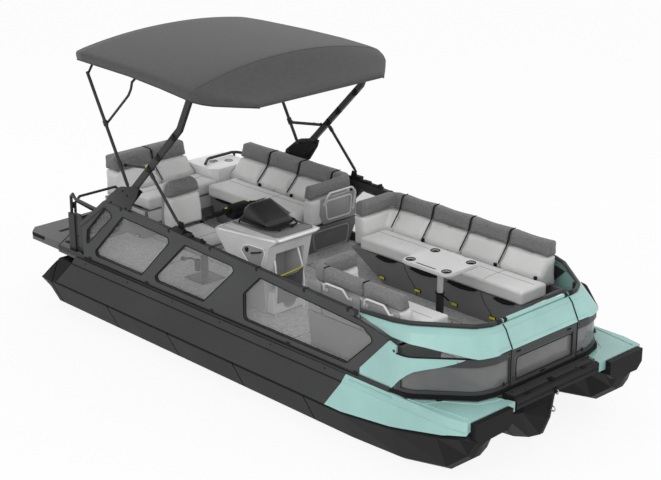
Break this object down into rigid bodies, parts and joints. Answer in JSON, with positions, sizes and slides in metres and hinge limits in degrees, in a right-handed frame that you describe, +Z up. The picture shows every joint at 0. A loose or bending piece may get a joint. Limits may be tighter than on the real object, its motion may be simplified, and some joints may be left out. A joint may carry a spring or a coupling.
{
  "type": "pontoon boat",
  "caption": "Three-hull jet pontoon boat with fenced deck, bow gate, cushioned benches, helm console, table and a folding sun top",
  "frame": {"origin": "middle of the length and beam, on the plane the keels stand on", "axes": "+X to the bow, +Y to port, +Z up"},
  "size_m": [6.34, 2.55, 2.92],
  "materials": {
    "hull_polymer": "satin",
    "hull_black": "satin",
    "teal": "satin",
    "dark_metal": "satin",
    "smoked_glass": "polished",
    "deck_mat": "woven",
    "platform_mat": "matt",
    "base_grey": "satin",
    "vinyl_light": "satin",
    "vinyl_dark": "woven",
    "shell_light": "satin",
    "tube_dark": "satin",
    "black_plastic": "matt",
    "canopy_cloth": "matt",
    "machine_grey": "rough",
    "steel": "satin"
  },
  "bodies": {
    "hull": {"pontoon_starboard": "hull_black", "pontoon_port": "hull_black", "centre_hull": "hull_black", "cross_beams": "dark_metal", "deck": "deck_mat", "swim_platform": "platform_mat", "bow_deck": "black_plastic", "side_covers": "hull_polymer", "bow_covers": "teal", "fence_starboard": "dark_metal", "fence_port": "dark_metal", "fence_windows": "smoked_glass", "stern_rails": "tube_dark", "bow_bands": "teal", "bow_frames": "dark_metal", "bow_windows": "smoked_glass", "bow_side_panels": "teal", "bow_rails": "tube_dark", "helm_console": "shell_light", "helm_hood": "black_plastic", "chair_pedestal": "dark_metal", "mid_base": "base_grey", "mid_back": "vinyl_light", "bow_port_base": "base_grey", "bow_port_back": "vinyl_light", "bow_starboard_base": "base_grey", "bow_starboard_back": "vinyl_light", "stern_base": "base_grey", "stern_back": "vinyl_light", "corner_console": "shell_light", "table_post": "tube_dark", "bimini_mounts": "black_plastic", "engine_block": "machine_grey", "jet_pump": "machine_grey"},
    "bow_gate": {"bow_gate_frame": "dark_metal", "bow_gate_band": "teal", "bow_gate_window": "smoked_glass"},
    "stern_gate": {"stern_gate": "tube_dark"},
    "helm": {"handlebar": "black_plastic"},
    "chair": {"chair_seat": "vinyl_light", "chair_back": "vinyl_light"},
    "mid_lid": {"mid_seat": "vinyl_light"},
    "bow_port_lid_aft": {"bow_port_seat_aft": "vinyl_light"},
    "bow_port_lid_fore": {"bow_port_seat_fore": "vinyl_light"},
    "bow_starboard_lid": {"bow_starboard_seat": "vinyl_light"},
    "stern_lid": {"stern_seat": "vinyl_light"},
    "table": {"table_top": "shell_light"},
    "main_bow": {"main_bow": "tube_dark"},
    "front_bow": {"front_bow": "tube_dark"},
    "middle_bow": {"middle_bow": "tube_dark"},
    "rear_bow": {"rear_bow": "tube_dark", "canopy": "canopy_cloth"},
    "brace_links": {"brace_links": "tube_dark"},
    "lower_struts": {"lower_struts": "tube_dark"},
    "jet_nozzle": {"steering_nozzle": "machine_grey"},
    "bucket": {"reverse_bucket": "machine_grey"},
    "impeller": {"impeller": "steel"},
    "ladder": {"boarding_ladder": "steel"}
  },
  "joints": [
    {"name": "bow_gate_hinge", "type": "hinge", "parent": "hull", "child": "bow_gate", "pos_m": [2.975, 0.45, 0.9], "axis": [0, 0, 1], "range_deg": [0, 100]},
    {"name": "stern_gate_hinge", "type": "hinge", "parent": "hull", "child": "stern_gate", "pos_m": [-2.34, -1.04, 0.9], "axis": [0, 0, 1], "range_deg": [0, 90]},
    {"name": "helm_steer", "type": "hinge", "parent": "hull", "child": "helm", "pos_m": [-0.208, -0.62, 1.431], "axis": [-0.4848, 0, 0.8746], "range_deg": [-24, 24]},
    {"name": "chair_swivel", "type": "hinge", "parent": "hull", "child": "chair", "pos_m": [-0.76, -0.655, 1], "axis": [0, 0, 1], "range_deg": [-60, 60]},
    {"name": "table_lift", "type": "slide", "parent": "hull", "child": "table", "axis": [0, 0, 1], "range_m": [-0.2, 0]},
    {"name": "mid_lid_hinge", "type": "hinge", "parent": "hull", "child": "mid_lid", "pos_m": [-1.3, 0.745, 1.14], "axis": [-1, 0, 0], "range_deg": [0, 75]},
    {"name": "bow_port_lid_aft_hinge", "type": "hinge", "parent": "hull", "child": "bow_port_lid_aft", "pos_m": [0.85, 0.745, 1.14], "axis": [-1, 0, 0], "range_deg": [0, 75]},
    {"name": "bow_port_lid_fore_hinge", "type": "hinge", "parent": "hull", "child": "bow_port_lid_fore", "pos_m": [1.9, 0.745, 1.14], "axis": [-1, 0, 0], "range_deg": [0, 75]},
    {"name": "bow_starboard_lid_hinge", "type": "hinge", "parent": "hull", "child": "bow_starboard_lid", "pos_m": [1.75, -0.745, 1.14], "axis": [1, 0, 0], "range_deg": [0, 75]},
    {"name": "stern_lid_hinge", "type": "hinge", "parent": "hull", "child": "stern_lid", "pos_m": [-2.33, 0.07, 1.14], "axis": [0, -1, 0], "range_deg": [0, 75]},
    {"name": "bimini_fold", "type": "hinge", "parent": "hull", "child": "main_bow", "pos_m": [-1.25, 0, 1.53], "axis": [0, -1, 0], "range_deg": [0, 102], "deforming": ["canopy"]},
    {"name": "rear_bow_fold", "type": "hinge", "parent": "hull", "child": "rear_bow", "pos_m": [-1.32, 0, 1.56], "axis": [0, -1, 0], "range_deg": [0, 45]},
    {"name": "middle_bow_fold", "type": "hinge", "parent": "rear_bow", "child": "middle_bow", "pos_m": [-1.655, 0, 2.157], "axis": [0, -1, 0], "range_deg": [0, 60]},
    {"name": "front_bow_fold", "type": "hinge", "parent": "main_bow", "child": "front_bow", "pos_m": [-0.233, 0, 2.686], "axis": [0, -1, 0], "range_deg": [0, 48]},
    {"name": "link_fold", "type": "hinge", "parent": "rear_bow", "child": "brace_links", "pos_m": [-1.39, 0, 1.785], "axis": [0, -1, 0], "range_deg": [0, 96]},
    {"name": "strut_fold", "type": "hinge", "parent": "hull", "child": "lower_struts", "pos_m": [-0.5, 0, 1.425], "axis": [0, -1, 0], "range_deg": [0, 46.1]},
    {"name": "nozzle_steer", "type": "hinge", "parent": "hull", "child": "jet_nozzle", "pos_m": [-2.83, 0, 0.2], "axis": [0, 0, 1], "range_deg": [-24, 24]},
    {"name": "reverse_bucket_hinge", "type": "hinge", "parent": "hull", "child": "bucket", "pos_m": [-2.85, 0, 0.2], "axis": [0, -1, 0], "range_deg": [0, 60]},
    {"name": "impeller_spin", "type": "hinge", "parent": "hull", "child": "impeller", "pos_m": [-2.655, 0, 0.2], "axis": [1, 0, 0], "continuous": true},
    {"name": "ladder_fold", "type": "hinge", "parent": "hull", "child": "ladder", "pos_m": [-3.13, 0.4, 0.56], "axis": [0, 1, 0], "range_deg": [0, 100]}
  ],
  "couplings": [
    {"joint": "nozzle_steer", "follows": "helm_steer", "ratio": -1},
    {"joint": "rear_bow_fold", "follows": "bimini_fold", "ratio": 0.441},
    {"joint": "middle_bow_fold", "follows": "bimini_fold", "ratio": 0.588},
    {"joint": "front_bow_fold", "follows": "bimini_fold", "ratio": 0.47},
    {"joint": "link_fold", "follows": "bimini_fold", "ratio": 0.94},
    {"joint": "strut_fold", "follows": "bimini_fold", "ratio": 0.4515}
  ]
}
